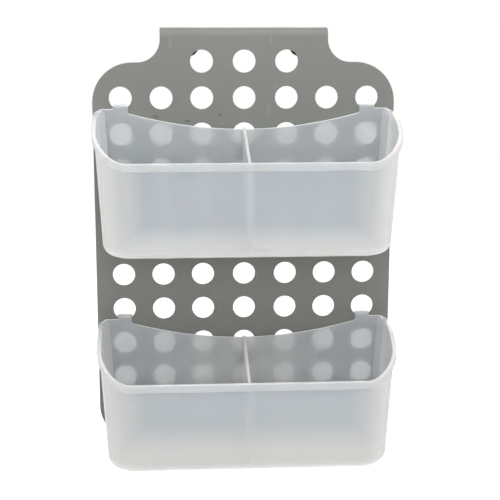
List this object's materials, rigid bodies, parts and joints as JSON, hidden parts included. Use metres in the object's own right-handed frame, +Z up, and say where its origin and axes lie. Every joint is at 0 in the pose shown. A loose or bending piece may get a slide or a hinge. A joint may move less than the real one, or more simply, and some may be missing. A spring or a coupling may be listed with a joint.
{
  "type": "over-door hanging caddy",
  "caption": "Perforated plastic back panel that hooks over a cabinet door and carries divided frosted storage bins, each hung by hooks in its holes.",
  "frame": {"origin": "centre of the door hook's underside, the face that rests on the door's top edge, midway along its width and midway between the panel and the rear flange", "axes": "+Z up, -Y towards the front where the bins are, +Y towards the door, +X to the right seen from the front"},
  "size_m": [0.265, 0.1088, 0.3775],
  "materials": {
    "grey_plastic": "satin moulded grey plastic",
    "frosted_plastic": "frosted translucent polypropylene",
    "black_foam": "matte black foam rubber"
  },
  "bodies": {
    "panel": {"back_panel": "grey_plastic", "pad_top_left": "black_foam", "pad_top_right": "black_foam", "pad_bottom_left": "black_foam", "pad_bottom_right": "black_foam"},
    "upper_bin_body": {"upper_bin": "frosted_plastic"},
    "lower_bin_body": {"lower_bin": "frosted_plastic"}
  },
  "joints": [
    {"name": "upper_bin_lift", "type": "slide", "parent": "panel", "child": "upper_bin_body", "axis": [0, 0, 1], "range_m": [0, 0.012]},
    {"name": "lower_bin_lift", "type": "slide", "parent": "panel", "child": "lower_bin_body", "axis": [0, 0, 1], "range_m": [0, 0.012]}
  ]
}
